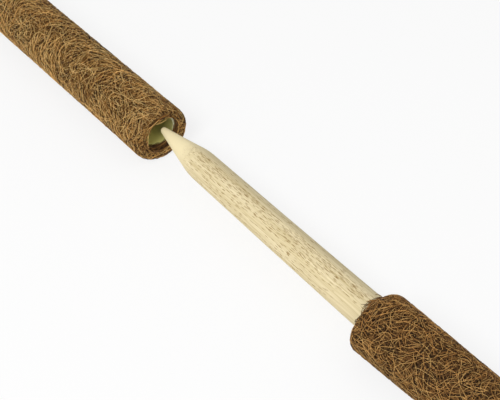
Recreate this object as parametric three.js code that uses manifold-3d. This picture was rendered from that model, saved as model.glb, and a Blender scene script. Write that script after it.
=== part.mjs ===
// Extendable coir moss pole, in millimetres with +Z up, lying along +X on its coir.
// Two alike sections. Each is a plastic core tube wrapped in a coir mat, with a pointed wooden stake
// tacked into one end of the tube and the other end left open as a socket.
// The upper section's stake slides into the lower section's socket, until coir meets coir.
import * as THREE from "three";
import { mergeVertices } from "three/addons/utils/BufferGeometryUtils.js";
import Module from "manifold-3d";

const wasm = await Module();
wasm.setup();

// Wooden stake
const stakeDiameter = 20; // inside the tube, and where it leaves the coir
const stakeTaper = 2; // how much thinner the shaft is where its point begins
const stakeExposed = 180; // from the tip to the end of the coir
const stakeSeat = 74; // length held inside the tube
const stakeChamfer = 1.5; // on the end inside the tube
const pointLength = 35; // from the tip to the shoulder
const pointTipRadius = 2; // the tip is blunt
const shoulderBlend = 8; // length over which the point rounds into the shaft

// Plastic core tube
const socketClearance = 0.5; // between a stake and the tube's bore, all round
const tubeWall = 1.2;

// Coir mat
const matThickness = 6;
const matClearance = 0.3; // between the mat and the tube or stake that it wraps
const coirLength = 320;
const matEdgeRadius = 3.5; // rounding of the outer edge at both ends
const mouthRecess = 3; // how far the tube's rim lies inside the open end of the coir
const collarLength = 6; // how far the coir runs past the tube to close round the stake
const seamWidth = 0.6; // gap where the mat's long edges meet

// Tacks that hold the stake in the tube
const tackShankDiameter = 1.6;
const tackLength = 11; // under the head
const tackPointLength = 2;
const tackHeadDiameter = 4;
const tackHeadThickness = 0.8;
const tackClearance = 0.3; // all round a tack
const firstTackPlace = 18; // from the tube's end at the stake
const tackSpacing = 28; // along the pole, on opposite sides of it

// Rest pose
const tipDepth = 1; // how far the upper stake's tip reaches into the lower mouth

// Facets
const sides = 24; // of everything turned about the pole's axis
const tackSides = 12;
const arcSteps = 3; // each quarter round has twice as many
const cutMargin = 2; // how far a cutter reaches past what it cuts

// Worked out from the sizes above
const stakeRadius = stakeDiameter / 2;
const shoulderRadius = (stakeDiameter - stakeTaper) / 2;
const boreRadius = stakeRadius + socketClearance;
const tubeRadius = boreRadius + tubeWall;
const matBoreRadius = tubeRadius + matClearance;
const coirRadius = matBoreRadius + matThickness;
const collarBoreRadius = stakeRadius + matClearance;
const facetShare = Math.cos(Math.PI / sides); // a facet's distance from the axis over a corner's
const axisHeight = coirRadius * facetShare; // the pole lies on a facet of its coir
const tackHeadSeat = tubeRadius * facetShare + tackClearance; // the head's underside, from the axis
const sectionPitch = coirLength + stakeExposed - tipDepth;
const poleLength = stakeExposed + sectionPitch + coirLength;

const coirFibre = new THREE.MeshStandardMaterial({ color: 0x86673f, roughness: 0.95, metalness: 0 });
const paleWood = new THREE.MeshStandardMaterial({ color: 0xdcca9e, roughness: 0.7, metalness: 0 });
const olivePlastic = new THREE.MeshStandardMaterial({ color: 0x7d7a42, roughness: 0.4, metalness: 0 });
const tackSteel = new THREE.MeshStandardMaterial({ color: 0x8f9194, roughness: 0.35, metalness: 1 });

// Solid of a closed geometry, for cutting
function solidOf(geometry) {
  const bare = geometry.clone();
  bare.deleteAttribute("normal");
  bare.deleteAttribute("uv");
  const merged = mergeVertices(bare);
  return new wasm.Manifold(
    new wasm.Mesh({
      numProp: 3,
      vertProperties: merged.getAttribute("position").array,
      triVerts: new Uint32Array(merged.index.array),
    }),
  );
}

// The geometry with each cutter taken out of it
function cut(geometry, cutters) {
  const left = cutters.reduce((solid, cutter) => solid.subtract(solidOf(cutter)), solidOf(geometry));
  const mesh = left.getMesh();
  return new THREE.BufferGeometry()
    .setAttribute("position", new THREE.BufferAttribute(mesh.vertProperties, 3))
    .setIndex(new THREE.BufferAttribute(mesh.triVerts, 1))
    .toNonIndexed();
}

// Turns a profile of (radius, place along the axis) about the pole's axis, +X, with a facet underneath
function turned(profile) {
  return new THREE.LatheGeometry(profile.getPoints(arcSteps), sides, Math.PI / sides).rotateZ(-Math.PI / 2);
}

// A round cutter across the pole at one tack: from the axis side out to a distance from the axis
function tackCutter(tack, radius, from, to) {
  const length = to - from;
  return new THREE.CylinderGeometry(radius, radius, length, tackSides)
    .translate(0, from + length / 2, 0)
    .rotateX((tack.side * Math.PI) / 2)
    .translate(tack.place, 0, 0);
}

// Places along the section, whose coir starts at 0 where the stake leaves it, and the side, +1 above
const tacks = [1, -1].map((side, i) => ({ side, place: collarLength + firstTackPlace + i * tackSpacing }));
const tackHoles = tacks.map((tack) =>
  tackCutter(
    tack,
    tackShankDiameter / 2 + tackClearance,
    tackHeadSeat - tackLength - tackClearance,
    coirRadius + cutMargin,
  ),
);

// Blunt cone, rounded into a slightly tapered shaft, then a straight seat with a chamfered end
function stakeGeometry() {
  const tip = -stakeExposed;
  const shoulder = tip + pointLength;
  const slope = Math.atan2(shoulderRadius - pointTipRadius, pointLength - pointTipRadius);
  const blendStart = shoulder - shoulderBlend / 2;
  const blendEnd = shoulder + shoulderBlend / 2;
  const coneRadius = shoulderRadius - (shoulder - blendStart) * Math.tan(slope);
  const shaftSlope = (stakeRadius - shoulderRadius) / (stakeExposed - pointLength);
  const profile = new THREE.Path();
  profile.moveTo(0, tip);
  profile.absarc(0, tip + pointTipRadius, pointTipRadius, -Math.PI / 2, -slope, false);
  profile.lineTo(coneRadius, blendStart);
  profile.quadraticCurveTo(
    shoulderRadius,
    shoulder,
    shoulderRadius + (blendEnd - shoulder) * shaftSlope,
    blendEnd,
  );
  profile.lineTo(stakeRadius, 0);
  profile.lineTo(stakeRadius, collarLength + stakeSeat - stakeChamfer);
  profile.lineTo(stakeRadius - stakeChamfer, collarLength + stakeSeat);
  profile.lineTo(0, collarLength + stakeSeat);
  return cut(turned(profile), tackHoles);
}

// Plain tube, from the collar to just inside the coir's open end
function tubeGeometry() {
  const start = collarLength;
  const end = coirLength - mouthRecess;
  const profile = new THREE.Path();
  profile.moveTo(boreRadius, start);
  profile.lineTo(tubeRadius, start);
  profile.lineTo(tubeRadius, end);
  profile.lineTo(boreRadius, end);
  profile.lineTo(boreRadius, start);
  return cut(turned(profile), tackHoles);
}

// Mat rolled once round the tube, with its seam along the back, closing round the stake at one end
function coirGeometry() {
  const roundedRadius = coirRadius - matEdgeRadius;
  const collarEnd = collarLength - matClearance;
  const profile = new THREE.Path();
  profile.moveTo(collarBoreRadius, 0);
  profile.lineTo(roundedRadius, 0);
  profile.absarc(roundedRadius, matEdgeRadius, matEdgeRadius, -Math.PI / 2, 0, false);
  profile.lineTo(coirRadius, coirLength - matEdgeRadius);
  profile.absarc(roundedRadius, coirLength - matEdgeRadius, matEdgeRadius, 0, Math.PI / 2, false);
  profile.lineTo(matBoreRadius, coirLength);
  profile.lineTo(matBoreRadius, collarEnd);
  profile.lineTo(collarBoreRadius, collarEnd);
  profile.lineTo(collarBoreRadius, 0);
  const seam = new THREE.BoxGeometry(coirLength + 2 * cutMargin, coirRadius + cutMargin, seamWidth).translate(
    coirLength / 2,
    (coirRadius + cutMargin) / 2,
    0,
  );
  const headPockets = tacks.map((tack) =>
    tackCutter(
      tack,
      tackHeadDiameter / 2 + tackClearance,
      matBoreRadius - matThickness,
      tackHeadSeat + tackHeadThickness + tackClearance,
    ),
  );
  return cut(turned(profile), [seam, ...headPockets]);
}

// Pointed tack with a low domed head, its underside at the tube's wall
function tackGeometry(tack) {
  const shank = tackShankDiameter / 2;
  const head = tackHeadDiameter / 2;
  const profile = new THREE.Path();
  profile.moveTo(0, -tackLength);
  profile.lineTo(shank, tackPointLength - tackLength);
  profile.lineTo(shank, 0);
  profile.lineTo(head, 0);
  profile.quadraticCurveTo(head, tackHeadThickness, 0, tackHeadThickness);
  return new THREE.LatheGeometry(profile.getPoints(arcSteps), tackSides)
    .translate(0, tackHeadSeat, 0)
    .rotateX((tack.side * Math.PI) / 2)
    .translate(tack.place, 0, 0);
}

function part(name, geometry, material) {
  const mesh = new THREE.Mesh(geometry, material);
  mesh.name = name;
  return mesh;
}

// One whole section, with the place along X where its stake leaves its coir
function section(name, place) {
  const group = new THREE.Group();
  group.add(part(`${name}_stake`, stakeGeometry(), paleWood));
  group.add(part(`${name}_core_tube`, tubeGeometry(), olivePlastic));
  group.add(part(`${name}_coir_wrap`, coirGeometry(), coirFibre));
  tacks.forEach((tack, i) => group.add(part(`${name}_stake_tack_${i + 1}`, tackGeometry(tack), tackSteel)));
  group.position.set(place, 0, axisHeight);
  return group;
}

const mossPole = new THREE.Group();
const lowerPlace = stakeExposed - poleLength / 2; // the pole is centred on the origin
mossPole.add(section("lower", lowerPlace));
mossPole.add(section("upper", lowerPlace + sectionPitch));

export default mossPole;
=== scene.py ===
import bpy
import math
import numpy as np
from mathutils import Matrix, Vector


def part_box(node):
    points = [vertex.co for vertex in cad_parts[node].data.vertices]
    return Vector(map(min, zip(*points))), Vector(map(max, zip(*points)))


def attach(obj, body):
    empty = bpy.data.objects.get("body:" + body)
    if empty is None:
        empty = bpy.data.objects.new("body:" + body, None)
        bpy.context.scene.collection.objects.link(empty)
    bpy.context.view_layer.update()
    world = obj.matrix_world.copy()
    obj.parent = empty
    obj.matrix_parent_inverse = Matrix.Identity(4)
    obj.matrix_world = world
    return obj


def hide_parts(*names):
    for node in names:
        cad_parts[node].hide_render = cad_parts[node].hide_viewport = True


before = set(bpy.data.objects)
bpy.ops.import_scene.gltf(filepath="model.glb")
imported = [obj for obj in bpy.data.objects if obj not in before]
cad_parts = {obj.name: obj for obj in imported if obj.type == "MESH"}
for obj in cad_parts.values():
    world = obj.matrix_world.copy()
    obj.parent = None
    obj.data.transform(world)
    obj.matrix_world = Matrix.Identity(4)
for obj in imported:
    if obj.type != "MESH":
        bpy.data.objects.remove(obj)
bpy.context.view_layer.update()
scene = bpy.context.scene
mm = 0.001
wholeTurn = 2 * math.pi
sections = ("lower", "upper")
print("frame loaded,", len(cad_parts), "nodes")


def sizesOf(section):  # where one section's CAD pieces lie, in metres
    coirLow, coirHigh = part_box(section + "_coir_wrap")
    tubeLow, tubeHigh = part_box(section + "_core_tube")
    stakeLow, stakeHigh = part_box(section + "_stake")
    return {
        "axisHeight": (coirLow.z + coirHigh.z) / 2,
        "collar": coirLow.x,  # end of the coir where the stake comes out
        "mouth": coirHigh.x,  # open end of the coir
        "coirRadius": (coirHigh.z - coirLow.z) / 2,
        "tubeStart": tubeLow.x,
        "tubeEnd": tubeHigh.x,
        "tubeRadius": (tubeHigh.z - tubeLow.z) / 2,
        "stakeTip": stakeLow.x,
        "stakeSeat": stakeHigh.x,
        "stakeRadius": (stakeHigh.z - stakeLow.z) / 2,
    }


sizes = {section: sizesOf(section) for section in sections}

# Camera, placed by where the lower section's mouth shows in the picture
viewSet = {
    "azimuth": 51.1,  # degrees, 0 looks along +Y
    "elevation": 43.3,
    "lens": 86.4,
    "sensor": 36.0,
    "picture": (500, 400),
    "mouthPixel": (161.5, 134.3),
    "mouthDepth": 0.6887,  # from the lens to the mouth, along the view
    "clipStart": 0.01,
}


def placeCamera():
    turn = math.radians(viewSet["azimuth"])
    tilt = math.radians(viewSet["elevation"])
    right = Vector((math.cos(turn), math.sin(turn), 0))
    back = Vector((math.sin(turn) * math.cos(tilt), -math.cos(turn) * math.cos(tilt), math.sin(tilt)))
    up = back.cross(right)
    wide, high = viewSet["picture"]
    perPixel = viewSet["mouthDepth"] * viewSet["sensor"] / viewSet["lens"] / wide
    aside = (viewSet["mouthPixel"][0] - wide / 2) * perPixel
    above = (high / 2 - viewSet["mouthPixel"][1]) * perPixel
    mouth = Vector((sizes["lower"]["mouth"], 0, sizes["lower"]["axisHeight"]))
    bpy.ops.object.camera_add()
    camera = bpy.context.object
    camera.name = "camera"
    camera.data.lens = viewSet["lens"]
    camera.data.sensor_width = viewSet["sensor"]
    camera.data.clip_start = viewSet["clipStart"]
    stand = mouth - aside * right - above * up + viewSet["mouthDepth"] * back
    turned = Matrix((right, up, back)).transposed().to_4x4()
    camera.matrix_world = Matrix.Translation(stand) @ turned
    scene.camera = camera


placeCamera()
print("camera placed")


# Helpers for materials
white = (1, 1, 1, 1)


def tint(red, green, blue):  # a colour as it looks on screen, 0 to 255
    channels = [c / 255 for c in (red, green, blue)]
    return [c / 12.92 if c <= 0.04045 else ((c + 0.055) / 1.055) ** 2.4 for c in channels] + [1.0]


def newMaterial(name):
    material = bpy.data.materials.new(name)
    material.use_nodes = True
    tree = material.node_tree
    return material, tree, tree.nodes["Principled BSDF"]


def addNode(tree, kind, **values):
    node = tree.nodes.new(kind)
    for key, value in values.items():
        setattr(node, key, value)
    return node


def feed(tree, socket, value):  # by a link, or with a plain value
    if isinstance(value, bpy.types.NodeSocket):
        tree.links.new(value, socket)
    else:
        socket.default_value = value


def addAttribute(tree, name):
    return addNode(tree, "ShaderNodeAttribute", attribute_name=name).outputs["Fac"]


def addRamp(tree, source, *stops):  # stops are (place, colour)
    ramp = tree.nodes.new("ShaderNodeValToRGB")
    while len(ramp.color_ramp.elements) < len(stops):
        ramp.color_ramp.elements.new(0.5)
    for element, (place, colour) in zip(ramp.color_ramp.elements, stops):
        element.position = place
        element.color = colour
    tree.links.new(source, ramp.inputs["Fac"])
    return ramp.outputs["Color"]


def addGreys(tree, source, *stops):  # stops are (place, value)
    return addRamp(tree, source, *[(place, (value, value, value, 1)) for place, value in stops])


def addMix(tree, factor, first, second, blend="MIX"):
    mix = addNode(tree, "ShaderNodeMix", data_type="RGBA", blend_type=blend)
    for socket, value in zip((mix.inputs[0], mix.inputs[6], mix.inputs[7]), (factor, first, second)):
        feed(tree, socket, value)
    return mix.outputs[2]


def addShade(tree, colour, shade):
    return addMix(tree, 1.0, colour, shade, "MULTIPLY")


def addMath(tree, operation, first, second):
    maths = addNode(tree, "ShaderNodeMath", operation=operation)
    for socket, value in zip(maths.inputs, (first, second)):
        feed(tree, socket, value)
    return maths.outputs[0]


def addProduct(tree, first, *others):
    for other in others:
        first = addMath(tree, "MULTIPLY", first, other)
    return first


def mixShaders(tree, share, first, second, output):
    mix = tree.nodes.new("ShaderNodeMixShader")
    for socket, source in zip(mix.inputs, (share, first.outputs[0], second.outputs[0])):
        tree.links.new(source, socket)
    tree.links.new(mix.outputs[0], tree.nodes[output].inputs["Surface"])


def paint(tree, bsdf, colour, rough, gloss=0.5):
    feed(tree, bsdf.inputs["Base Color"], colour)
    feed(tree, bsdf.inputs["Roughness"], rough)
    bsdf.inputs["Specular IOR Level"].default_value = gloss


def addBump(tree, bsdf, height, strength, distance):
    bump = tree.nodes.new("ShaderNodeBump")
    bump.inputs["Strength"].default_value = strength
    bump.inputs["Distance"].default_value = distance
    tree.links.new(height, bump.inputs["Height"])
    tree.links.new(bump.outputs["Normal"], bsdf.inputs["Normal"])


# Noise drawn out along the pole, for wood grain, drawn plastic, wire and felt
def makeDrawnNoise():
    group = bpy.data.node_groups.new("drawnNoise", "ShaderNodeTree")
    for name, value in (("Along", 100.0), ("Across", 100.0), ("Detail", 2.0), ("Distortion", 0.0)):
        socket = group.interface.new_socket(name, in_out="INPUT", socket_type="NodeSocketFloat")
        socket.default_value = value
    # noise, the distance from the middle of a cell, and the cell's own number
    for name in ("Value", "Spot", "Pick"):
        group.interface.new_socket(name, in_out="OUTPUT", socket_type="NodeSocketFloat")
    entry = group.nodes.new("NodeGroupInput")
    leave = group.nodes.new("NodeGroupOutput")
    place = group.nodes.new("ShaderNodeTexCoord")
    scale = group.nodes.new("ShaderNodeCombineXYZ")
    stretch = addNode(group, "ShaderNodeVectorMath", operation="MULTIPLY")
    noise = group.nodes.new("ShaderNodeTexNoise")
    cells = group.nodes.new("ShaderNodeTexVoronoi")
    split = group.nodes.new("ShaderNodeSeparateColor")
    for source, target in (
        (entry.outputs["Along"], scale.inputs["X"]),
        (entry.outputs["Across"], scale.inputs["Y"]),
        (entry.outputs["Across"], scale.inputs["Z"]),
        (place.outputs["Object"], stretch.inputs[0]),
        (scale.outputs["Vector"], stretch.inputs[1]),
        (entry.outputs["Detail"], noise.inputs["Detail"]),
        (entry.outputs["Distortion"], noise.inputs["Distortion"]),
        (noise.outputs["Fac"], leave.inputs["Value"]),
        (cells.outputs["Distance"], leave.inputs["Spot"]),
        (cells.outputs["Color"], split.inputs["Color"]),
        (split.outputs["Red"], leave.inputs["Pick"]),
    ):
        group.links.new(source, target)
    for texture in (noise, cells):
        texture.inputs["Scale"].default_value = 1.0
        group.links.new(stretch.outputs["Vector"], texture.inputs["Vector"])
    return group


drawnNoise = makeDrawnNoise()


def addNoise(tree, along, across, detail=2.0, distortion=0.0, output="Value"):  # scales per metre
    node = addNode(tree, "ShaderNodeGroup", node_tree=drawnNoise)
    for name, value in (("Along", along), ("Across", across), ("Detail", detail), ("Distortion", distortion)):
        node.inputs[name].default_value = value
    return node.outputs[output]


# How far a point lies to one side of the axis, 1 at the radius. The turn is in degrees from +Y.
def addSide(tree, turn, radius):
    turn = math.radians(turn)
    place = tree.nodes.new("ShaderNodeTexCoord")
    toSide = addNode(tree, "ShaderNodeVectorMath", operation="DOT_PRODUCT")
    toSide.inputs[1].default_value = (0, math.cos(turn), math.sin(turn))
    tree.links.new(place.outputs["Object"], toSide.inputs[0])
    axis = sizes["upper"]["axisHeight"] * math.sin(turn)
    beyond = addMath(tree, "SUBTRACT", toSide.outputs["Value"], axis)
    return addMath(tree, "DIVIDE", beyond, radius)


# Bare pale hardwood: soft streaks along the grain, short brown pores in bands, a point with fewer pores that
# painted light makes paler, and a smooth strip along one side that painted shade makes greyer.
# Here and below, a ramp's stops are (place, colour or value), and a bump is (strength, distance).
woodSet = {
    "streaks": {"along": 16, "across": 700, "detail": 4, "distortion": 0.1},
    "ground": ((0.36, tint(237, 222, 183)), (0.66, tint(225, 209, 169))),
    "lines": {"along": 30, "across": 3000},
    "lineShade": ((0.36, (0.85, 0.83, 0.76, 1)), (0.58, white)),
    "lineHeight": 0.35,  # against a pore's depth
    "threads": {"along": 22, "across": 1500, "detail": 1},
    "threadShade": ((0.4, (0.89, 0.87, 0.8, 1)), (0.56, white)),
    # painted light: the point's paler colour
    "point": tint(244, 229, 185),
    "pointLength": 40 * mm,
    "shaft": ((0.6, 0), (1, 1)),  # where the point's colour goes over into it, by that length
    "pores": ((165, 2300, 0.365), (230, 2900, 0.385)),  # cells per metre both ways, a pore's reach in one
    "poreCore": 0.7,  # the share of that reach before it fades
    "pore": tint(126, 88, 0),
    "poreWeight": 0.95,
    "poreDepth": ((0, 1), (0.75, 0.6)),  # some are fainter
    "bands": {"along": 7, "across": 120, "detail": 1},
    "bandPores": ((0.36, 0.18), (0.6, 0.86)),  # the share of cells with a pore
    "openTurn": 90,  # the side where the pores are open, in degrees from +Y
    "openPores": ((0.3, 0.3), (0.85, 1)),
    "stripTurn": 34,  # a smooth strip along one side, with few pores, that painted shade makes greyer
    "stripPaintedShade": ((0.6, 1), (0.72, 0.9)),
    "stripPores": ((0.25, 0.38), (0.45, 1), (0.6, 1), (0.72, 0.07)),  # few in it, and most beside it
    "besidePores": 2.1,
    "rough": ((0.3, 0.62), (0.7, 0.8)),
    "gloss": 0.25,
    "bump": (0.2, 0.2 * mm),
}


def makeStakeWood():
    material, tree, bsdf = newMaterial("stakeWood")
    radius = sizes["upper"]["stakeRadius"]
    streaks = addNoise(tree, **woodSet["streaks"])
    lines = addNoise(tree, **woodSet["lines"])
    threads = addNoise(tree, **woodSet["threads"])
    fromTip = addMath(tree, "DIVIDE", addAttribute(tree, "fromTip"), woodSet["pointLength"])
    shaft = addGreys(tree, fromTip, *woodSet["shaft"])
    toStrip = addSide(tree, woodSet["stripTurn"], radius)
    ground = addRamp(tree, streaks, *woodSet["ground"])
    ground = addShade(tree, ground, addRamp(tree, lines, *woodSet["lineShade"]))
    ground = addShade(tree, ground, addRamp(tree, threads, *woodSet["threadShade"]))
    # painted light: the point is paler than the shaft
    ground = addMix(tree, shaft, woodSet["point"], ground)
    # painted shade: the strip's side is made greyer
    ground = addShade(tree, ground, addGreys(tree, toStrip, *woodSet["stripPaintedShade"]))
    # a pore is the middle of a drawn-out cell, in as many cells as the band and the side allow
    banded = addGreys(tree, addNoise(tree, **woodSet["bands"]), *woodSet["bandPores"])
    openSide = addGreys(tree, addSide(tree, woodSet["openTurn"], radius), *woodSet["openPores"])
    beside = addGreys(tree, toStrip, *woodSet["stripPores"])
    dense = addProduct(tree, banded, openSide, beside, woodSet["besidePores"])
    masks = []
    for along, across, reach in woodSet["pores"]:
        pick = addNoise(tree, along, across, output="Pick")
        depth = addGreys(tree, pick, *woodSet["poreDepth"])
        chosen = addMath(tree, "LESS_THAN", pick, dense)
        spot = addNoise(tree, along, across, output="Spot")
        near = addGreys(tree, spot, (reach * woodSet["poreCore"], 1), (reach, 0))
        masks.append(addProduct(tree, chosen, depth, near))
    poreMask = addProduct(tree, addMath(tree, "MAXIMUM", *masks), shaft)
    colour = addMix(tree, addProduct(tree, poreMask, woodSet["poreWeight"]), ground, woodSet["pore"])
    paint(tree, bsdf, colour, addGreys(tree, streaks, *woodSet["rough"]), woodSet["gloss"])
    height = addMath(tree, "SUBTRACT", addProduct(tree, lines, woodSet["lineHeight"]), poreMask)
    addBump(tree, bsdf, height, *woodSet["bump"])
    return material


# Olive plastic, drawn along its length, and its paler sawn rim
plasticSet = {
    "lines": {"along": 6, "across": 700, "detail": 3},
    "cloud": {"along": 60, "across": 60},
    "olive": ((0.35, tint(176, 170, 105)), (0.65, tint(194, 188, 121))),
    "scuff": tint(248, 240, 150),  # painted light, a paler strip along one side of the tube, seen in its bore
    "scuffTurn": -112,  # in degrees from +Y
    "paintedLightEdge": ((0.4, 0), (0.85, 1)),
    "rough": ((0.3, 0.28), (0.7, 0.42)),
    "bump": (0.15, 0.1 * mm),
    "saw": {"along": 300, "across": 2400, "detail": 3},
    "rim": ((0.35, tint(208, 208, 168)), (0.6, tint(232, 232, 200))),
    "rimRough": ((0.3, 0.5), (0.7, 0.75)),
    "rimBump": (0.4, 0.1 * mm),
}


def makeTubePlastic():
    material, tree, bsdf = newMaterial("tubePlastic")
    lines = addNoise(tree, **plasticSet["lines"])
    colour = addRamp(tree, addNoise(tree, **plasticSet["cloud"]), *plasticSet["olive"])
    # painted light: the tube is paler along one side
    toPaintedLight = addSide(tree, plasticSet["scuffTurn"], sizes["lower"]["tubeRadius"])
    paintedLit = addGreys(tree, toPaintedLight, *plasticSet["paintedLightEdge"])
    colour = addMix(tree, paintedLit, colour, plasticSet["scuff"])
    paint(tree, bsdf, colour, addGreys(tree, lines, *plasticSet["rough"]))
    addBump(tree, bsdf, lines, *plasticSet["bump"])
    return material


def makeTubeRim():
    material, tree, bsdf = newMaterial("tubeRim")
    saw = addNoise(tree, **plasticSet["saw"])
    paint(tree, bsdf, addRamp(tree, saw, *plasticSet["rim"]), addGreys(tree, saw, *plasticSet["rimRough"]))
    addBump(tree, bsdf, saw, *plasticSet["rimBump"])
    return material


# Drawn wire steel of the tacks
steelSet = {
    "wire": {"along": 1800, "across": 1800, "detail": 3},
    "steel": ((0.3, tint(120, 121, 123)), (0.7, tint(172, 174, 176))),
    "rough": ((0.3, 0.25), (0.7, 0.45)),
}


def makeTackSteel():
    material, tree, bsdf = newMaterial("tackSteel")
    wire = addNoise(tree, **steelSet["wire"])
    paint(tree, bsdf, addRamp(tree, wire, *steelSet["steel"]), addGreys(tree, wire, *steelSet["rough"]))
    bsdf.inputs["Metallic"].default_value = 1.0
    return material


# Coir: a felt kept as dark as the shade between strands, which is painted shade, and strands whose tone runs
# from dark brown to straw
coirSet = {
    "clumps": {"along": 260, "across": 260, "detail": 4, "distortion": 1.0},
    "feltRough": 0.95,
    "feltGloss": 0.1,
    "feltBump": (0.8, 0.6 * mm),
    "cast": ((0, (1.05, 0.95, 0.85, 1)), (0.5, white), (1, (0.9, 0.95, 1.0, 1))),  # by a strand's hue
    "patches": {"along": 300, "across": 300, "detail": 3},
    "patchShade": ((0.3, (0.82, 0.8, 0.77, 1)), (0.62, white)),
    "strandRough": ((0.3, 0.62), (0.7, 0.42)),
    "strandGloss": 0.2,
    "lower": {
        # painted shade: the felt is as dark as the shaded gaps between strands
        "felt": ((0.35, tint(40, 26, 11)), (0.65, tint(64, 43, 20))),
        "strand": (
            (0, tint(66, 43, 20)),
            (0.35, tint(171, 124, 66)),
            (0.7, tint(241, 193, 117)),
            (1, tint(252, 226, 156)),
        ),
        "paintedShadeTurn": 34,  # the side where painted shade darkens the mat, in degrees from +Y
        "paintedShade": ((0.72, 1), (0.95, 0.78)),
    },
    "upper": {
        # painted shade: the felt is as dark as the shaded gaps between strands
        "felt": ((0.35, tint(33, 21, 9)), (0.65, tint(54, 37, 17))),
        "strand": (
            (0, tint(52, 34, 16)),
            (0.35, tint(144, 102, 54)),
            (0.7, tint(213, 163, 96)),
            (1, tint(250, 208, 132)),
        ),
        # painted shade on this side as well
        "paintedShadeTurn": 214,
        "paintedShade": ((0.72, 1), (0.95, 0.6)),
    },
}


def makeCoirFelt(section):
    material, tree, bsdf = newMaterial(section + "CoirFelt")
    clumps = addNoise(tree, **coirSet["clumps"])
    # painted shade in the felt's dark colour
    colour = addRamp(tree, clumps, *coirSet[section]["felt"])
    paint(tree, bsdf, colour, coirSet["feltRough"], coirSet["feltGloss"])
    addBump(tree, bsdf, clumps, *coirSet["feltBump"])
    return material


def makeCoirStrand(section):
    material, tree, bsdf = newMaterial(section + "CoirStrand")
    use = coirSet[section]
    patches = addNoise(tree, **coirSet["patches"])
    side = addSide(tree, use["paintedShadeTurn"], sizes[section]["coirRadius"])
    colour = addRamp(tree, addAttribute(tree, "tone"), *use["strand"])
    colour = addShade(tree, colour, addRamp(tree, addAttribute(tree, "hue"), *coirSet["cast"]))
    colour = addShade(tree, colour, addRamp(tree, patches, *coirSet["patchShade"]))
    # painted shade: the strands are darker towards one side of the mat
    colour = addShade(tree, colour, addGreys(tree, side, *use["paintedShade"]))
    paint(tree, bsdf, colour, addGreys(tree, patches, *coirSet["strandRough"]), coirSet["strandGloss"])
    return material


stakeWood = makeStakeWood()
tubePlastic = makeTubePlastic()
tubeRim = makeTubeRim()
tackSteel = makeTackSteel()
coirFelt = {section: makeCoirFelt(section) for section in sections}
coirStrand = {section: makeCoirStrand(section) for section in sections}
print("materials made")


# Helpers for turned pieces
smoothAngle = math.radians(40)


def startRing(name, place, radius, axisHeight, sides):  # a ring across the pole, left in edit mode
    bpy.ops.object.select_all(action="DESELECT")
    bpy.ops.mesh.primitive_circle_add(
        vertices=sides, radius=radius, location=(place, 0, axisHeight), rotation=(0, math.pi / 2, 0)
    )
    piece = bpy.context.object
    piece.name = name
    piece.data.name = name
    bpy.ops.object.transform_apply(location=True, rotation=True, scale=True)
    bpy.ops.object.mode_set(mode="EDIT")
    bpy.ops.mesh.select_all(action="SELECT")
    return piece


# Rings are (place, radius), and the first one is there already
def extrudeRings(rings, axisHeight, offAxis=lambda place: (0.0, 0.0)):
    for (place, radius), (nextPlace, nextRadius) in zip(rings, rings[1:]):
        aside, above = offAxis(place)
        nextAside, nextAbove = offAxis(nextPlace)
        step = (nextPlace - place, nextAside - aside, nextAbove - above)
        bpy.ops.mesh.extrude_region_move(TRANSFORM_OT_translate={"value": step})
        ratio = nextRadius / radius
        if abs(ratio - 1) > 1e-9:
            middle = (nextPlace, nextAside, axisHeight + nextAbove)
            bpy.ops.transform.resize(value=(1, ratio, ratio), center_override=middle)


def joinEnds():  # bridges the first ring of a hollow piece to its last
    bpy.ops.mesh.select_all(action="DESELECT")
    bpy.ops.mesh.select_mode(type="EDGE")
    bpy.ops.mesh.select_non_manifold()
    bpy.ops.mesh.bridge_edge_loops()


def closeSkin():
    bpy.ops.mesh.select_all(action="SELECT")
    bpy.ops.mesh.remove_doubles(threshold=1e-6)
    bpy.ops.mesh.normals_make_consistent(inside=False)
    bpy.ops.object.mode_set(mode="OBJECT")


def arc(place, radius, size, start, end, steps):  # rings on a round edge, angles from +X outwards
    angles = [start + (end - start) * k / steps for k in range(steps + 1)]
    return [(place + size * math.cos(a), radius + size * math.sin(a)) for a in angles]


def curve(start, pull, end, t):  # a smooth curve from start to end, drawn towards pull
    return (1 - t) ** 2 * start + 2 * t * (1 - t) * pull + t**2 * end


def ruffle(piece, grain, depth):  # a cloudy unevenness in the surface
    cloud = bpy.data.textures.new(piece.name + "Cloud", "CLOUDS")
    cloud.noise_scale = grain
    cloud.noise_depth = 2
    bpy.ops.object.modifier_add(type="DISPLACE")
    ruffled = piece.modifiers[-1]
    ruffled.texture = cloud
    ruffled.texture_coords = "LOCAL"
    ruffled.strength = depth
    ruffled.mid_level = 0.5
    bpy.ops.object.modifier_apply(modifier=ruffled.name)


def finishPiece(piece, section, slotName, *materials):
    for material in materials:
        piece.data.materials.append(material)
    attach(piece, section + "_section")


# Wooden stake
stakeSet = {
    "sides": 96,
    "point": 35 * mm,
    "tipRadius": 2 * mm,
    "taper": 1 * mm,  # of the radius, from the coir to the shoulder
    "shoulderBlend": 10 * mm,
    "chamfer": 1.5 * mm,
    "shaftRings": 40,
    "shoulderRings": 8,
    "coneRings": 8,
    "tipRings": 6,
    "tipTurn": 0.97 * math.pi,  # how far round the tip the last ring lies
    "grain": 20 * mm,  # of the unevenness
    "unevenness": 0.1 * mm,
    "slimmer": 0.12 * mm,
    "bow": {"lower": (0.0, 0.0), "upper": (1.74 * mm, 1.18 * mm)},  # of the tip, aside and up
    "bowPower": 1.3,
    "tipBend": {"lower": (0.0, 0.0), "upper": (-0.3 * mm, 1.6 * mm)},  # more of it, in the point alone
    "tipBendPower": 2,
}


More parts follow.
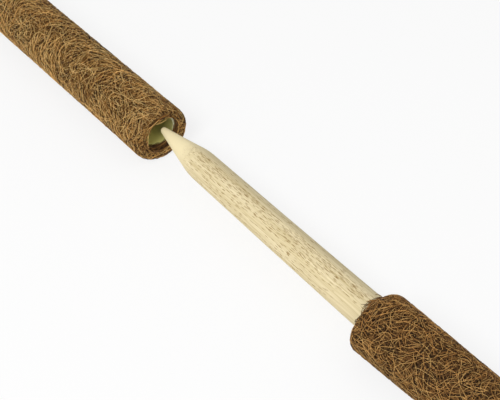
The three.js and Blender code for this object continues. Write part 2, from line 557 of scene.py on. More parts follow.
def makeStake(section):
    size = sizes[section]
    radius = size["stakeRadius"] - stakeSet["slimmer"]
    tip = size["stakeTip"]
    shoulder = tip + stakeSet["point"]
    shoulderRadius = radius - stakeSet["taper"]
    tipRadius = stakeSet["tipRadius"]
    slope = math.atan2(shoulderRadius - tipRadius, stakeSet["point"] - tipRadius)
    half = stakeSet["shoulderBlend"] / 2
    seat, chamfer = size["stakeSeat"], stakeSet["chamfer"]
    rings = [(seat, radius - chamfer), (seat - chamfer, radius)]
    shaft = size["collar"] - shoulder
    for k in range(stakeSet["shaftRings"] + 1):
        share = k / stakeSet["shaftRings"]
        place = size["collar"] - share * (shaft - half)
        rings.append((place, radius - stakeSet["taper"] * (size["collar"] - place) / shaft))
    blendFrom = rings[-1]
    blendTo = (shoulder - half, shoulderRadius - half * math.tan(slope))
    blend = np.array((blendFrom, (shoulder, shoulderRadius), blendTo))
    for k in range(1, stakeSet["shoulderRings"] + 1):  # a soft shoulder
        rings.append(tuple(curve(*blend, k / stakeSet["shoulderRings"]).tolist()))
    coneEnd = (tip + tipRadius - tipRadius * math.sin(slope), tipRadius * math.cos(slope))
    for k in range(1, stakeSet["coneRings"] + 1):
        t = k / (stakeSet["coneRings"] + 1)
        rings.append(tuple(a + (b - a) * t for a, b in zip(blendTo, coneEnd)))
    tipStart, tipEnd = math.pi / 2 + slope, stakeSet["tipTurn"]
    rings += arc(tip + tipRadius, 0, tipRadius, tipStart, tipEnd, stakeSet["tipRings"])
    piece = startRing(section + "_stake_wood", *rings[0], size["axisHeight"], stakeSet["sides"])

    def bowed(place):
        share = max(0.0, (size["collar"] - place) / (size["collar"] - tip)) ** stakeSet["bowPower"]
        pointShare = max(0.0, (shoulder - place) / (shoulder - tip)) ** stakeSet["tipBendPower"]
        bow, tipBend = stakeSet["bow"][section], stakeSet["tipBend"][section]
        return [share * reach + pointShare * more for reach, more in zip(bow, tipBend)]

    extrudeRings(rings, size["axisHeight"], bowed)
    bpy.ops.mesh.merge(type="CENTER")
    bpy.ops.mesh.select_all(action="SELECT")
    bpy.ops.mesh.fill_holes(sides=0)
    closeSkin()
    ruffle(piece, stakeSet["grain"], stakeSet["unevenness"])
    bpy.ops.object.shade_smooth_by_angle(angle=smoothAngle)
    fromTip = piece.data.attributes.new("fromTip", "FLOAT", "POINT")
    for corner, value in zip(piece.data.vertices, fromTip.data):
        value.value = corner.co.x - tip
    finishPiece(piece, section, "stake_wood", stakeWood)
    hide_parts(section + "_stake")


# Plastic core tube
tubeSet = {
    "sides": 96,
    "wall": 1.2 * mm,
    "edge": 0.15 * mm,  # the sawn rim's softened edge
}


def makeTube(section):
    size = sizes[section]
    outer = size["tubeRadius"]
    inner = outer - tubeSet["wall"]
    edge = tubeSet["edge"]
    start, end = size["tubeStart"], size["tubeEnd"]
    rings = [(start, inner), (start, outer)]
    rings += [(end - edge, outer), (end, outer - edge), (end, inner + edge), (end - edge, inner)]
    piece = startRing(section + "_tube_plastic", *rings[0], size["axisHeight"], tubeSet["sides"])
    extrudeRings(rings, size["axisHeight"])
    joinEnds()
    closeSkin()
    finishPiece(piece, section, "core_plastic", tubePlastic, tubeRim)
    for face in piece.data.polygons:
        if abs(face.normal.x) > 0.5:
            face.material_index = 1
    bpy.ops.object.shade_smooth_by_angle(angle=smoothAngle)
    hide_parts(section + "_core_tube")


for section in sections:
    makeStake(section)
    makeTube(section)
    for number in (1, 2):
        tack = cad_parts[f"{section}_stake_tack_{number}"]
        tack.data.materials.clear()
        tack.data.materials.append(tackSteel)
print("stakes, tubes and tacks made")

# How the hand-rolled mats settle: ends not quite square, and the upper one off centre and slimmer further on
rollSet = {
    "still": 12 * mm,  # nothing moves within this radius
    "endFade": 12 * mm,
    "lower": {
        "end": "mouth", "shift": 0.6 * mm, "slant": 1.0 * mm, "slantTurn": -20,
        "aside": -0.4 * mm, "slim": 0.0, "flare": 0.9 * mm, "flareTurn": -25,
    },
    "upper": {
        "end": "collar", "shift": 0.8 * mm, "slant": 1.2 * mm, "slantTurn": 34,
        "aside": -1.6 * mm, "slim": 0.05, "flare": 0.0, "flareTurn": 0,
    },
    "asideFade": 45 * mm,
    "slimLength": 60 * mm,
}


def settle(section, points):
    size = sizes[section]
    roll = rollSet[section]
    aside = points[..., 1]
    above = points[..., 2] - size["axisHeight"]
    fromEnd = np.abs(points[..., 0] - size[roll["end"]])
    radius = np.hypot(aside, above)
    free = np.clip((radius - rollSet["still"]) / (size["coirRadius"] - rollSet["still"]), 0, 1)
    ease = np.clip(fromEnd / rollSet["slimLength"], 0, 1)
    slim = 1 - roll["slim"] * free * ease * ease * (3 - 2 * ease)
    turn = np.arctan2(above, aside)
    across = np.cos(turn - math.radians(roll["slantTurn"])) * radius / size["coirRadius"]
    flare = roll["flare"] * np.clip(np.cos(turn - math.radians(roll["flareTurn"])), 0, 1) ** 2
    slim = slim + flare * free * np.exp(-fromEnd / rollSet["endFade"]) / size["coirRadius"]
    slant = (roll["shift"] + roll["slant"] * across) * np.exp(-fromEnd / rollSet["endFade"])
    settled = points.copy()
    settled[..., 0] += slant * np.sqrt(free)
    settled[..., 1] = aside * slim + roll["aside"] * free * np.exp(-fromEnd / rollSet["asideFade"])
    settled[..., 2] = size["axisHeight"] + above * slim
    return settled


# The skin that strands lie on, a little under the coir's outline
skinSet = {
    "under": 0.1 * mm,
    "mouthEdge": 2.6 * mm,
    "collarEdge": 3.2 * mm,
    "edgeSteps": 12,
    "lipRadius": 0.9 * mm,
    "lipSteps": 8,
    "tubeGap": 0.4 * mm,
    "boreDepth": 2.4 * mm,
    "stakeGap": 0.5 * mm,
    "dish": 2.2 * mm,  # how far the collar's face falls back round the stake
    "dishWidth": 4.0 * mm,
    "fineSteps": 4000,
}

# Coir felt, the body under the strands, made dark with painted shade
feltSet = {
    "sides": 120,
    "ringSpacing": 2.5 * mm,
    "under": 1.4 * mm,  # how far it lies under the coir's outline
    "edgeRadius": 1.7 * mm,
    "edgeSteps": 6,
    "tubeGap": 0.25 * mm,
    "stakeGap": 0.25 * mm,
    "collarLength": 5.4 * mm,
}


def matSizes(section, use):  # both ends, the outer radius, the bore and the neck, of the felt or the skin
    size = sizes[section]
    return (
        size["collar"] + use["under"],
        size["mouth"] - use["under"],
        size["coirRadius"] - use["under"],
        size["tubeRadius"] + use["tubeGap"],
        size["stakeRadius"] + use["stakeGap"],
    )


def makeFelt(section):
    size = sizes[section]
    start, end, outer, bore, neck = matSizes(section, feltSet)
    under, edge = feltSet["under"], feltSet["edgeRadius"]
    straight = end - start - 2 * edge
    collarEnd = size["collar"] + feltSet["collarLength"]
    rings = [(start + skinSet["dish"], neck), (start, neck + skinSet["dishWidth"])]
    rings += arc(start + edge, outer - edge, edge, math.pi, math.pi / 2, feltSet["edgeSteps"])
    steps = round(straight / feltSet["ringSpacing"])
    rings += [(start + edge + straight * k / steps, outer) for k in range(1, steps)]
    rings += arc(end - edge, outer - edge, edge, math.pi / 2, 0, feltSet["edgeSteps"])
    rings += [(end, (bore + outer - edge) / 2), (end, bore), (end - under, bore), (end - 3 * under, bore)]
    rings += [(collarEnd, bore), (collarEnd, neck)]
    piece = startRing(section + "_coir_felt", *rings[0], size["axisHeight"], feltSet["sides"])
    extrudeRings(rings, size["axisHeight"])
    joinEnds()
    closeSkin()
    bpy.ops.object.shade_smooth()
    corners = np.empty(len(piece.data.vertices) * 3)
    piece.data.vertices.foreach_get("co", corners)
    piece.data.vertices.foreach_set("co", settle(section, corners.reshape(-1, 3)).ravel())
    finishPiece(piece, section, "coir", coirFelt[section])
    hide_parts(section + "_coir_wrap")


for section in sections:
    makeFelt(section)
print("coir felt made")


def skinOf(section):  # the coir's outline as a path, from the collar round the outside and into the mouth
    start, end, outer, bore, neck = matSizes(section, skinSet)
    collarEdge, mouthEdge, lip = skinSet["collarEdge"], skinSet["mouthEdge"], skinSet["lipRadius"]
    steps = skinSet["edgeSteps"]
    path = [(start + skinSet["dish"], neck), (start, neck + skinSet["dishWidth"])]
    path += arc(start + collarEdge, outer - collarEdge, collarEdge, math.pi, math.pi / 2, steps)
    path += arc(end - mouthEdge, outer - mouthEdge, mouthEdge, math.pi / 2, 0, steps)
    path += arc(end - lip, bore + lip, lip, 0, -math.pi / 2, skinSet["lipSteps"])
    path.append((end - lip - skinSet["boreDepth"], bore))
    path = np.array(path)
    along = np.concatenate([[0], np.cumsum(np.linalg.norm(np.diff(path, axis=0), axis=1))])
    fine = np.linspace(0, along[-1], skinSet["fineSteps"])
    place = np.interp(fine, along, path[:, 0])
    radius = np.interp(fine, along, path[:, 1])
    step = fine[1]
    return {
        "along": fine,
        "place": place,
        "radius": radius,
        "outPlace": -np.gradient(radius, step),  # the way out of the coir
        "outRadius": np.gradient(place, step),
        "axisHeight": sizes[section]["axisHeight"],
    }


# Coir strands. They are swept in one go, because there are thousands of them.
# Pairs are the least and the most, and lengths in them are in mm.
strandSet = {
    "steps": 9,
    "taper": ((0, 0.12, 0.88, 1), (0.45, 1, 1, 0.45)),  # places along a strand, and its thickness there
    "paintedSideShade": 0.33,  # painted shade: how dark a strand's sides, sunk among the others, are against its crest
    "shortest": 4 * mm,
    "proudest": 0.1 * mm,  # how far one may stand out of the skin
    "sway": (0.05, 0.28),  # in and out among the others
    "swayWaves": (0.8, 2.4),
    "kink": 1 / (9 * mm),
    "kinkStep": 0.9,  # of a kink's wave, at each step
    "headingSpread": 0.9,  # round straight across the pole
    "seamTurn": 0.0,  # the seam is along the back, at +Y
    "seamHalfWidth": 0.25 * mm,
    "seamEnd": 17 * mm,  # strands cross it this near the ends of the skin
    "swirl": {  # each has its room both ways, its curve's radius, and how far a strand's heading is off it
        "lower": {"patch": 11 * mm, "bend": (8, 24), "stray": 0.6},
        "upper": {"patch": 7 * mm, "bend": (5, 18), "stray": 0.8},
    },
    "middles": (0.1, 0.9),  # where a swirl's middle may lie in its room
    "sideways": (-0.6, 0.6),  # how far its strands lie off the middle, in rooms
    "ahead": 4 * mm,  # and how far along their curve
    "innermost": 0.5,  # of a curve's radius, where strands curl no tighter
    "finer": 4,  # places that are looked at for each step, to spread strands evenly
    "tries": 20,  # of which the one on the barest ground is laid
    "cell": {"lower": 0.8 * mm, "upper": 0.7 * mm},
    "pool": 3,  # cells over which light and dark strands even out
    "covered": 0.5,  # how much the strands of one layer count in the next
    "contrast": {"lower": 1.6, "upper": 0.85},  # at 1, most strands are either light or dark
    "layers": {
        # painted shade: the deep and inner layers are given darker tones, for shade in the pits between
        # strands
        "deep": {
            "count": 1800, "length": (14, 24), "thickness": (0.5, 0.66),
            "lift": (-1.4, -1.05), "tone": (0.0, 0.2), "seed": 11,
        },
        "inner": {
            "count": 2200, "length": (10, 18), "thickness": (0.42, 0.54),
            "lift": (-1.1, -0.7), "tone": (0.0, 0.5), "seed": 12,
        },
        "middle": {
            "count": 3200, "length": (9, 17), "thickness": (0.34, 0.43),
            "lift": (-0.8, -0.42), "tone": (0.0, 1.0), "seed": 13,
        },
        "outer": {
            "count": 3300, "length": (9, 18), "thickness": (0.32, 0.4),
            "lift": (-0.5, -0.25), "tone": (0.0, 1.0), "seed": 14,
        },
        "top": {
            "count": 2400, "length": (9, 18), "thickness": (0.28, 0.36),
            "lift": (-0.32, -0.12), "tone": (0.0, 1.0), "seed": 15,
        },
    },
    "loose": {
        "count": 220, "length": (18, 36), "thickness": (0.4, 0.52), "lift": (-0.22, -0.05),
        "tone": (0.7, 1.0), "curl": 22 * mm, "seed": 16,
    },
    "ends": {
        "mouth": {"count": 300, "zone": (-11.0, -0.3), "seed": 21},
        "collar": {"count": 220, "zone": (0.3, 10.0), "seed": 22},
    },
    "end": {
        "length": (5, 14), "thickness": (0.38, 0.52), "lift": (-0.75, -0.12),
        "tone": (0.0, 0.55), "curl": 10 * mm,
    },
}


def walkStrands(skin, along, turn, heading, curl, kinkTurn, length):
    steps = strandSet["steps"]
    step = length / steps
    alongs, turns = [along], [turn]
    for k in range(steps):
        radius = np.interp(along, skin["along"], skin["radius"])
        along = along + step * np.cos(heading)
        turn = turn + step * np.sin(heading) / radius
        heading = heading + step * (curl + strandSet["kink"] * np.sin(kinkTurn + strandSet["kinkStep"] * k))
        alongs.append(along)
        turns.append(turn)
    return np.stack(alongs, 1), np.stack(turns, 1)


def readAt(values, steps):  # values between the steps of each strand
    low = np.clip(np.floor(steps).astype(int), 0, strandSet["steps"] - 1)
    part = steps - low
    row = np.arange(len(values))[:, None]
    return values[row, low] * (1 - part) + values[row, low + 1] * part


def cutStrands(skin, alongs, turns, length, seam):  # a strand ends where it leaves the skin or meets the seam
    steps = strandSet["steps"]
    gap = strandSet["seamHalfWidth"] / skin["radius"].max()
    fromSeam = turns - strandSet["seamTurn"]
    inside = (alongs > 0) & (alongs < skin["along"][-1])
    if seam:
        nearEnd = np.minimum(alongs, skin["along"][-1] - alongs) < strandSet["seamEnd"]
        inside &= nearEnd | (fromSeam > gap) & (fromSeam < wholeTurn - gap)
    last = np.where(inside.all(1), steps, inside.argmin(1) - 1)
    kept = last * length / steps > strandSet["shortest"]
    left = last[:, None] * np.linspace(0, 1, steps + 1)[None, :]
    return readAt(alongs, left)[kept], readAt(turns, left)[kept], kept


def placeStrands(skin, alongs, turns, lift):
    place, radius, outPlace, outRadius = (
        np.interp(alongs, skin["along"], skin[key]) for key in ("place", "radius", "outPlace", "outRadius")
    )
    reach = radius + outRadius * lift
    points = np.stack(
        [place + outPlace * lift, reach * np.cos(turns), skin["axisHeight"] + reach * np.sin(turns)], -1
    )
    outward = np.stack([outPlace, outRadius * np.cos(turns), outRadius * np.sin(turns)], -1)
    return points, outward


def unit(vectors):
    return vectors / np.maximum(np.linalg.norm(vectors, axis=-1, keepdims=True), 1e-12)


def sweepStrands(name, points, outward, thickness, tone, hue):  # three-sided closed strands, as one mesh
    count, rows = points.shape[:2]
    ahead = unit(np.gradient(points, axis=1))
    side = unit(np.cross(ahead, outward))
    rise = np.cross(side, ahead)
    taper = np.interp(np.linspace(0, 1, rows), *strandSet["taper"])
    half = (thickness[:, None] / 2 * taper[None, :])[..., None]
    corners = []
    for angle in np.radians([90, 210, 330]):
        corners.append(points + half * (math.cos(angle) * side + math.sin(angle) * rise))
    places = np.stack(corners, 2).reshape(-1, 3)
    first = (np.arange(count) * rows * 3)[:, None, None]
    near = first + np.arange(rows - 1)[None, :, None] * 3
    far = near + 3
    corner = np.arange(3)[None, None, :]
    beside = (corner + 1) % 3
    quads = np.stack([near + corner, far + corner, far + beside, near + beside], -1).reshape(-1, 4)
    head = first[:, 0]
    tail = head + (rows - 1) * 3
    caps = np.concatenate([head + np.array([[0, 1, 2]]), tail + np.array([[2, 1, 0]])])
    mesh = bpy.data.meshes.new(name)
    mesh.from_pydata(places.tolist(), [], quads.tolist() + caps.tolist())
    # painted shade: each strand's two lower corners are darker than its crest
    crest = np.tile([1, strandSet["paintedSideShade"], strandSet["paintedSideShade"]], rows)
    for key, values in (("tone", np.outer(tone, crest).ravel()), ("hue", np.repeat(hue, rows * 3))):
        mesh.attributes.new(key, "FLOAT", "POINT").data.foreach_set("value", values)
    layStrandMap(mesh, count, rows)
    mesh.shade_smooth()
    piece = bpy.data.objects.new(name, mesh)
    scene.collection.objects.link(piece)
    return piece


# UV map of the strands
mapSet = {
    "cellShape": 5,  # a cell's length over its height, on a square map
    "margin": 0.06,
    "capWidth": 0.05,
}


def layStrandMap(mesh, count, rows):  # a cell for each strand
    columns = max(1, round(math.sqrt(count / mapSet["cellShape"])))
    lines = math.ceil(count / columns)
    cell = np.stack([np.arange(count) % columns, np.arange(count) // columns], -1).astype(float)
    margin = mapSet["margin"]
    room = 1 - 2 * margin
    ahead = np.arange(rows - 1)[:, None, None] + np.array([0, 1, 1, 0])  # round each face's four corners
    aside = np.arange(3)[None, :, None] + np.array([0, 0, 1, 1])
    faces = np.broadcast_arrays(margin + room * ahead / (rows - 1), margin + room * aside / 3)
    quad = np.stack(faces, -1).reshape(1, -1, 2)
    cap = np.array([[[0.0, margin], [mapSet["capWidth"], margin], [0.0, 1 - margin]]])
    tail = np.array([[1, 0]]) + cap * np.array([-1, 1])
    whole = [((cell[:, None, :] + part) / np.array([columns, lines])).ravel() for part in (quad, cap, tail)]
    mesh.uv_layers.new(name="OFBake").data.foreach_set("uv", np.concatenate(whole))


def between(rng, limits, count, unitSize=1.0):
    return rng.uniform(limits[0], limits[1], count) * unitSize


def tonesOf(section, limits, light):
    parted = light**2 * (3 - 2 * light)
    light = light + strandSet["contrast"][section] * (parted - light)
    return limits[0] + (limits[1] - limits[0]) * light


def finishStrands(section, key, points, outward, thickness, tone, hue):
    piece = sweepStrands(f"{section}_coir_strands_{key}", points, outward, thickness, tone, hue)
    finishPiece(piece, section, "coir", coirStrand[section])
    print(piece.name, len(points))


# Of every few tries, the strand on the barest ground, made light or dark against those round it
def spreadEvenly(section, skin, rng, alongs, turns):
    fine = np.linspace(0, strandSet["steps"], strandSet["finer"] * strandSet["steps"] + 1)[None, :]
    cell = strandSet["cell"][section]
    columns = math.ceil(skin["along"][-1] / cell)
    lines = round(wholeTurn * skin["radius"].max() / cell)
    column = np.clip(readAt(alongs, fine) / cell, 0, columns - 1).astype(int)
    line = (readAt(turns, fine) / wholeTurn * lines).astype(int) % lines
    cells = column * lines + line
    pools = column // strandSet["pool"] * lines + line // strandSet["pool"]
    laid = skin.setdefault("laid", np.zeros(columns * lines))
    light = skin.setdefault("light", np.zeros(columns * lines))
    laid *= strandSet["covered"]
    light *= strandSet["covered"]
    chosen = []
    shares = []
    for tried in rng.permutation(len(alongs)).reshape(-1, strandSet["tries"]):
        best = tried[laid[cells[tried]].mean(1).argmin()]
        laid[cells[best]] += 1
        drawn = rng.random()
        darker, lighter = sorted((drawn, 1 - drawn))
        shares.append(darker if light[pools[best]].mean() > 0 else lighter)
        np.add.at(light, pools[best], shares[-1] - 0.5)
        chosen.append(best)
    return np.array(chosen), np.array(shares)


def layStrands(section, skin, key, use, rng, along, turn, heading, curl, length, seam, spread=False):
    kinkTurn = rng.uniform(0, wholeTurn, len(along))
    alongs, turns = walkStrands(skin, along, turn, heading, curl, kinkTurn, length)
    light = rng.random(len(along))
    if spread:
        chosen, light = spreadEvenly(section, skin, rng, alongs, turns)
        alongs, turns, length = alongs[chosen], turns[chosen], length[chosen]
    alongs, turns, kept = cutStrands(skin, alongs, turns, length, seam)
    count = len(kept)
    lift = between(rng, use["lift"], count, mm)
    sway = between(rng, strandSet["sway"], count, mm)
    swayTurn = rng.uniform(0, wholeTurn, count)
    waves = between(rng, strandSet["swayWaves"], count)
    thickness = between(rng, use["thickness"], count, mm)
    tone = tonesOf(section, use["tone"], light)
    hue = rng.random(count)
    phase = np.linspace(0, wholeTurn, strandSet["steps"] + 1)[None, :] * waves[kept, None]
    lifts = lift[kept, None] + sway[kept, None] * np.sin(phase + swayTurn[kept, None])
    lifts = np.minimum(lifts, strandSet["proudest"] - thickness[kept, None] / 2)
    points, outward = placeStrands(skin, alongs, turns, lifts)
    finishStrands(section, key, settle(section, points), outward, thickness[kept], tone[kept], hue[kept])


def strandRng(section, seed):  # the upper section's seeds are a hundred further on
    return np.random.default_rng(seed + 100 * sections.index(section))


def acrossPole(rng, count):  # headings, rather across the pole than along it
    return rng.normal(math.pi / 2, strandSet["headingSpread"], count) + math.pi * rng.integers(0, 2, count)


def makeStrandLayer(section, skin, layer):  # swirls, whose strands follow one curve
    use = strandSet["layers"][layer]
    swirl = strandSet["swirl"][section]
    rng = strandRng(section, use["seed"])
    reach = skin["along"][-1]
    outer = skin["radius"].max()
    columns = round(reach / swirl["patch"])
    rows = round(wholeTurn * outer / swirl["patch"])
    patches = columns * rows
    column, row = np.divmod(np.arange(patches), rows)
    middleAlong = (column + between(rng, strandSet["middles"], patches)) * reach / columns
    middleTurn = (row + 0.5 * (column % 2) + between(rng, strandSet["middles"], patches)) * wholeTurn / rows
    way = acrossPole(rng, patches)
    bend = rng.choice([-1, 1], patches) / between(rng, swirl["bend"], patches, mm)
    count = use["count"] * strandSet["tries"]
    patch = np.arange(count) % patches
    middleAlong, middleTurn, way, bend = (values[patch] for values in (middleAlong, middleTurn, way, bend))
    length = between(rng, use["length"], count, mm)
    beside = between(rng, strandSet["sideways"], count, swirl["patch"])
    bent = way + bend * (rng.normal(0, strandSet["ahead"], count) - length / 2)
    along = (middleAlong + (np.sin(bent) - np.sin(way)) / bend - np.sin(bent) * beside) % reach
    around = (np.cos(way) - np.cos(bent)) / bend + np.cos(bent) * beside
    turn = (middleTurn + around / outer) % wholeTurn
    heading = bent + rng.normal(0, swirl["stray"], count)
    curl = bend / (1 - np.minimum(bend * beside, strandSet["innermost"]))
    layStrands(section, skin, layer, use, rng, along, turn, heading, curl, length, True, spread=True)


def makeLooseStrands(section, skin):
    use = strandSet["loose"]
    rng = strandRng(section, use["seed"])
    count = use["count"]
    along = rng.uniform(0, skin["along"][-1], count)
    turn = rng.uniform(0, wholeTurn, count)
    curl = rng.normal(0, 1 / use["curl"], count)
    length = between(rng, use["length"], count, mm)
    layStrands(section, skin, "loose", use, rng, along, turn, acrossPole(rng, count), curl, length, True)


def makeEndStrands(section, skin, end):  # short strands every way on the two end faces
    use = strandSet["end"]
    place = strandSet["ends"][end]
    rng = strandRng(section, place["seed"])
    count = place["count"]
    along = between(rng, place["zone"], count, mm) % skin["along"][-1]
    turn = rng.uniform(0, wholeTurn, count)
    heading = rng.uniform(0, wholeTurn, count)
    curl = rng.normal(0, 1 / use["curl"], count)
    length = between(rng, use["length"], count, mm)
    layStrands(section, skin, end, use, rng, along, turn, heading, curl, length, False)


# Strands round the axis, at the mouth and the collar. Lengths are in mm, and turns in degrees from +Y.
hoopSet = {
    "waves": (2, 7),
    "driftRadius": 11,  # at which a tilted strand's drift along the axis is reckoned
    "lip": {  # round the mouth, proud of it at the near side, and off the tube's rim at one side
        "count": 210, "radius": (10.6, 12.3), "span": (0.25, 0.9), "tilt": 0.35,
        "thickness": (0.36, 0.54), "tone": (0.0, 0.55), "seed": 31,
        "ripple": 0.2, "depthRipple": 0.15, "deepest": 2.85,
        "nearTurn": 165, "nearEdge": (0.5, 0.9),
        "nearFront": -1.9, "farFront": 0.4, "nearBack": 1.6, "farBack": 2.8,  # depths
        "frontFade": 2.6,  # outwards from the inmost, which reach out furthest
        "bareTurn": 15, "bareEdge": (-0.8, 1.8), "bareRadius": 11.5,  # where the tube's rim shows
    },
    "far": {  # for the two kinds that follow: how they crowd to the front, drift and ripple
        "crowding": 1.5, "drift": 0.8, "ripple": 0.1,
    },
    "rim": {  # over the tube's rim
        "count": 150, "turn": (200, 350), "depth": (2.72, 2.9), "radius": (10.55, 11.9), "span": (0.15, 0.7),
        "tilt": 0.0, "thickness": (0.3, 0.42), "tone": (0.1, 1.0), "seed": 33,
    },
    "bore": {  # thin ones tucked into the tube's mouth
        "count": 190, "turn": (185, 300), "depth": (2.9, 6.6), "radius": (10.29, 10.3), "span": (0.15, 0.6),
        "tilt": 0.5, "thickness": (0.16, 0.2), "tone": (0.0, 0.5), "seed": 34,
    },
    "hug": {  # for the two kinds that follow: off the stake, crowding outwards, scallops and strays
        "offStake": 0.17, "crowding": 0.5, "ripple": 0.2, "scallop": 0.35, "scallops": 5,
        "strayReach": 1.5, "strayDrift": 3, "slack": 1.5, "furthest": 6.2,
    },
    "wrap": {  # round the stake, out of the collar
        "count": 360, "deepest": 0.0, "edge": 1.6, "facing": 1.2, "facingTurn": 60, "span": (0.3, 1.2),
        "tilt": 0.2, "thickness": (0.28, 0.38), "tone": (0.0, 0.65), "strays": 26, "seed": 32,
    },
    "neck": {  # round the stake, down in the collar's dish
        "count": 380, "deepest": -4.2, "edge": 0.6, "facing": 0.0, "facingTurn": 112, "span": (0.3, 1.2),
        "tilt": 0.12, "thickness": (0.28, 0.38), "tone": (0.0, 0.6), "strays": 0, "seed": 35,
    },
}


def hoopTurns(use, rng):  # turns of strands round the axis, how far each drifts along it, and a wave
    count = use["count"]
    share = np.linspace(-0.5, 0.5, strandSet["steps"] + 1)[None, :]
    span = between(rng, use["span"], count)[:, None]
    turns = rng.uniform(0, wholeTurn, count)[:, None] + span * share
    drift = rng.normal(0, use["tilt"], count)[:, None] * span * share * hoopSet["driftRadius"] * mm
    waves = rng.integers(*hoopSet["waves"], count)[:, None]
    wave = np.sin(turns * waves + rng.uniform(0, wholeTurn, count)[:, None])
    return turns, drift, wave


def layHoops(section, key, use, rng, place, turns, reach):
    height = sizes[section]["axisHeight"]
    points = np.stack([place, reach * np.cos(turns), height + reach * np.sin(turns)], -1)
    outward = np.stack([0 * turns, np.cos(turns), np.sin(turns)], -1)
    count = len(turns)
    thickness = between(rng, use["thickness"], count, mm)
    tone = tonesOf(section, use["tone"], rng.random(count))
    finishStrands(section, key, points, outward, thickness, tone, rng.random(count))


def shareAt(turns, turn, edge):  # 1 at one side of the pole and 0 away from it
    base, slope = edge
    return np.clip(base + slope * np.cos(turns - math.radians(turn)), 0, 1)


def makeLip(section):
    use = hoopSet["lip"]
    rng = strandRng(section, use["seed"])
    turns, drift, wave = hoopTurns(use, rng)
    near = shareAt(turns, use["nearTurn"], use["nearEdge"])
    bare = shareAt(turns, use["bareTurn"], use["bareEdge"])
    inmost = use["radius"][0]
    reach = between(rng, use["radius"], use["count"])[:, None] - use["ripple"] * wave
    reach = np.maximum(reach, inmost + (use["bareRadius"] - inmost) * bare)
    reachOut = np.clip(1 - (reach - inmost) / use["frontFade"], 0, 1)
    front = use["farFront"] + (use["nearFront"] - use["farFront"]) * near * reachOut
    back = use["farBack"] + (use["nearBack"] - use["farBack"]) * near
    level = rng.random(use["count"])[:, None]
    depth = (front + (back - front) * level) * mm + drift + use["depthRipple"] * mm * wave
    depth = np.clip(depth, front * mm, use["deepest"] * mm)
    layHoops(section, "lip", use, rng, sizes[section]["mouth"] - depth, turns, reach * mm)


def makeFarStrands(section, key):  # strands at the mouth's far side
    use, far = hoopSet[key], hoopSet["far"]
    rng = strandRng(section, use["seed"])
    turns, drift, wave = hoopTurns(use, rng)
    low, high = np.radians(use["turn"])
    middle = turns[:, strandSet["steps"] // 2, None]
    part = middle / wholeTurn % 1
    turns = turns - middle + low + (high - low) * part
    first, last = use["depth"]
    level = rng.random((use["count"], 1)) ** far["crowding"] * (1 - part**2)
    depth = (first + (last - first) * level) * mm + np.clip(drift, -far["drift"] * mm, far["drift"] * mm)
    depth = np.clip(depth, first * mm, last * mm)
    inmost, outmost = use["radius"]
    reach = between(rng, use["radius"], use["count"], mm)[:, None]
    reach = np.maximum(reach - far["ripple"] * (outmost - inmost) * mm * (1 + wave), inmost * mm)
    layHoops(section, key, use, rng, sizes[section]["mouth"] - depth, turns, reach)


def makeWrap(section, key):  # strands that hug the stake where it leaves the coir
    use, hug = hoopSet[key], hoopSet["hug"]
    rng = strandRng(section, use["seed"])
    turns, drift, wave = hoopTurns(use, rng)
    middle = turns[:, strandSet["steps"] // 2]
    facing = np.cos(middle - math.radians(use["facingTurn"]))
    edge = use["edge"] + use["facing"] * facing + hug["scallop"] * np.sin(hug["scallops"] * middle)
    edge[: use["strays"]] += hug["strayReach"]
    drift[: use["strays"]] *= hug["strayDrift"]
    deepest = use["deepest"]
    level = rng.random(use["count"]) ** hug["crowding"]
    out = (deepest + (edge - deepest) * level)[:, None] * mm + drift + hug["ripple"] * mm * wave
    out = np.clip(out, (deepest - hug["slack"]) * mm, hug["furthest"] * mm)
    reach = sizes[section]["stakeRadius"] - stakeSet["slimmer"] + hug["offStake"] * mm
    layHoops(section, key, use, rng, sizes[section]["collar"] - out, turns, reach)


# Pale straws at the lower mouth's edge. A path has its start, middle and end: out of the mouth, and aside
# and above its axis, in mm.
strawSet = {
    "near": {
        "path": ((0.2, -9.1, 6.1), (1.9, -10.6, 2.4), (0.2, -10.0, -4.9)),
        "thickness": 0.55, "tone": 0.9, "hue": 0.6,
    },
    "over": {
        "path": ((0.2, -9.5, 8.0), (1.6, -5.8, 11.2), (0.2, -0.2, 11.6)),
        "thickness": 0.48, "tone": 0.8, "hue": 0.5,
    },
    "inner": {
        "path": ((1.2, 3.8, 10.2), (2.3, -1.4, 10.7), (1.0, -4.4, 10.2)),
        "thickness": 0.42, "tone": 0.85, "hue": 0.6,
    },
}


def makeStraws():
    share = np.linspace(0, 1, strandSet["steps"] + 1)[:, None]
    straws = strawSet.values()
    lines = []
    for straw in straws:
        start, middle, end = np.array(straw["path"])
        lines.append(curve(start, 2 * middle - (start + end) / 2, end, share))
    size = sizes["lower"]
    points = np.array(lines) * mm + np.array([size["mouth"], 0, size["axisHeight"]])
    outward = np.broadcast_to(np.array([1.0, 0.0, 0.0]), points.shape)
    thickness, tone, hue = (
        np.array([straw[key] for straw in straws]) for key in ("thickness", "tone", "hue")
    )
    finishStrands("lower", "straws", points, outward, thickness * mm, tone, hue)


for section in sections:
    skin = skinOf(section)
    for layer in strandSet["layers"]:
        makeStrandLayer(section, skin, layer)
    makeLooseStrands(section, skin)
    for end in strandSet["ends"]:
        makeEndStrands(section, skin, end)
    makeLip(section)
    for key in ("rim", "bore"):
        makeFarStrands(section, key)
    for key in ("wrap", "neck"):
        makeWrap(section, key)
makeStraws()
print("coir strands made")

# Floor, world and lamps
stageSet = {
    "floorSize": 12.0,
    "floorDrop": 0.2 * mm,
    "floorColour": (0.92, 0.92, 0.92, 1),
    "floorRough": 0.9,
    "floorGlow": 0.78,  # share of plain white that the camera sees on the floor
    "floorFade": (0.8, 3.0),  # distances over which that share rises to all of it
    "skyLight": 0.55,
    "aim": 0.05,  # the place along the pole that the lamps face
    "lamps": {
        "keyLamp": {"place": (0.5, -0.98, 1.18), "size": 0.6, "power": 13.8},
        "fillLamp": {"place": (0.95, 0.3, 0.85), "size": 0.5, "power": 0.4},
    },
}


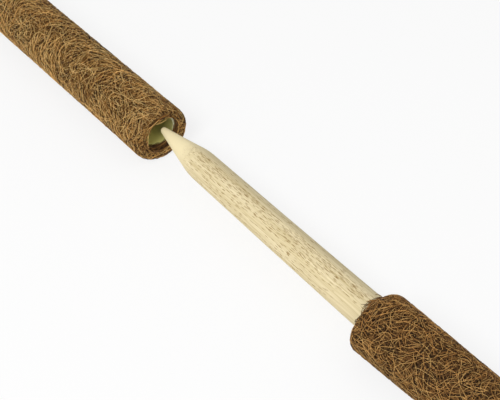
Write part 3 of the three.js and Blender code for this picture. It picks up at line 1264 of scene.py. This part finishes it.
def seenDirectly(tree):  # 1 for what the camera sees, also in gloss and through glass
    path = tree.nodes.new("ShaderNodeLightPath")
    seen = addMath(tree, "MAXIMUM", path.outputs["Is Camera Ray"], path.outputs["Is Glossy Ray"])
    return addMath(tree, "MAXIMUM", seen, path.outputs["Is Transmission Ray"])


def makeFloor():
    bpy.ops.object.select_all(action="DESELECT")
    bpy.ops.mesh.primitive_plane_add(size=stageSet["floorSize"], location=(0, 0, -stageSet["floorDrop"]))
    floor = bpy.context.object
    floor.name = "floor"
    material, tree, bsdf = newMaterial("paleFloor")
    paint(tree, bsdf, stageSet["floorColour"], stageSet["floorRough"], gloss=0.0)
    glow = tree.nodes.new("ShaderNodeEmission")
    place = tree.nodes.new("ShaderNodeTexCoord")
    away = addNode(tree, "ShaderNodeVectorMath", operation="LENGTH")
    tree.links.new(place.outputs["Object"], away.inputs[0])
    near, far = stageSet["floorFade"]
    part = addMath(tree, "DIVIDE", away.outputs["Value"], far)
    share = addGreys(tree, part, (near / far, stageSet["floorGlow"]), (1, 1))
    mixShaders(tree, addProduct(tree, seenDirectly(tree), share), bsdf, glow, "Material Output")
    floor.data.materials.append(material)


def makeWorld():
    world = bpy.data.worlds.new("studio")
    scene.world = world
    world.use_nodes = True
    tree = world.node_tree
    sky = tree.nodes["Background"]
    sky.inputs["Color"].default_value = white
    sky.inputs["Strength"].default_value = stageSet["skyLight"]
    seen = tree.nodes.new("ShaderNodeBackground")
    seen.inputs["Color"].default_value = white
    mixShaders(tree, seenDirectly(tree), sky, seen, "World Output")


def makeLamp(name):
    use = stageSet["lamps"][name]
    bpy.ops.object.light_add(type="AREA", location=use["place"])
    lamp = bpy.context.object
    lamp.name = name
    lamp.data.energy = use["power"]
    lamp.data.size = use["size"]
    aim = Vector((stageSet["aim"], 0, sizes["lower"]["axisHeight"])) - lamp.location
    lamp.rotation_euler = aim.to_track_quat("-Z", "Y").to_euler()


makeFloor()
makeWorld()
for name in stageSet["lamps"]:
    makeLamp(name)
scene.view_settings.view_transform = "Standard"
print("stage set")
